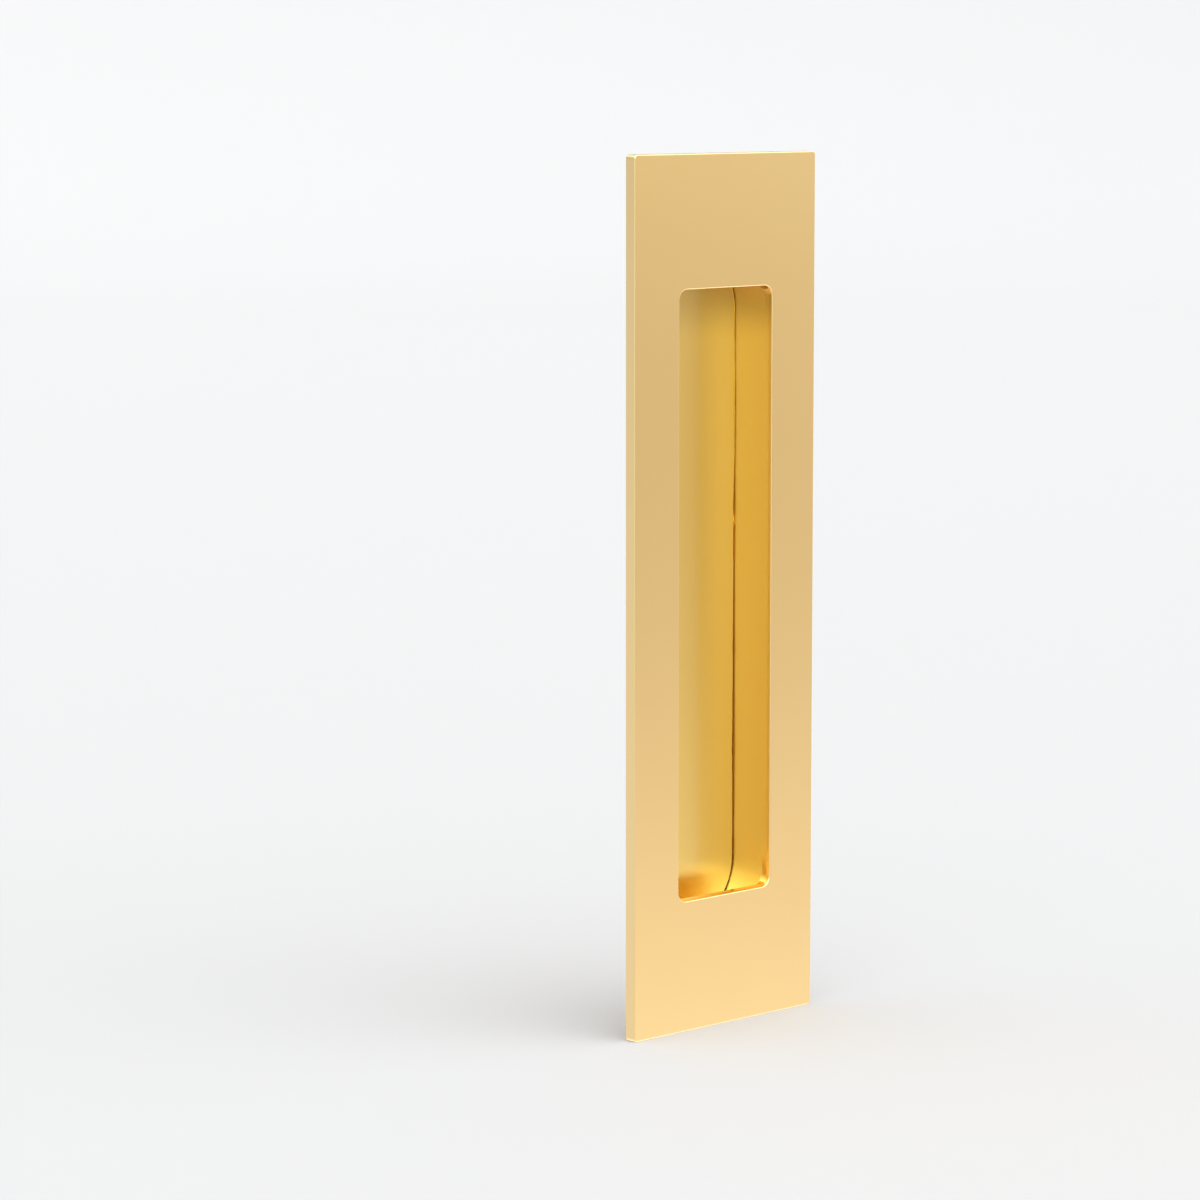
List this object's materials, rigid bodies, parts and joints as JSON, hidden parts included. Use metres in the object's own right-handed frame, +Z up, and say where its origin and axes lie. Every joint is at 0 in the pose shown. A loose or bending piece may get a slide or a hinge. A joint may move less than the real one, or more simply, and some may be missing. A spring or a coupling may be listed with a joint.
{
  "type": "pocket door pull",
  "caption": "Flush pull for a sliding pocket door: a tall rectangular plate with a round-cornered finger opening over a slot-shaped cup, held by hidden screws.",
  "frame": {"origin": "centre of the plate's rear face, on the door's surface, where the cup enters its mortise", "axes": "+Z up along the plate, +X across its width, +Y into the door"},
  "size_m": [0.051, 0.0121, 0.178],
  "materials": {
    "plate_brass": "satin, lacquered",
    "cup_brass": "satin, lacquered",
    "screw_brass": "turned"
  },
  "bodies": {
    "root": {"face_plate": "plate_brass", "cup_ring": "cup_brass", "cup_floor": "cup_brass", "upper_screw": "screw_brass", "lower_screw": "screw_brass"}
  },
  "joints": []
}
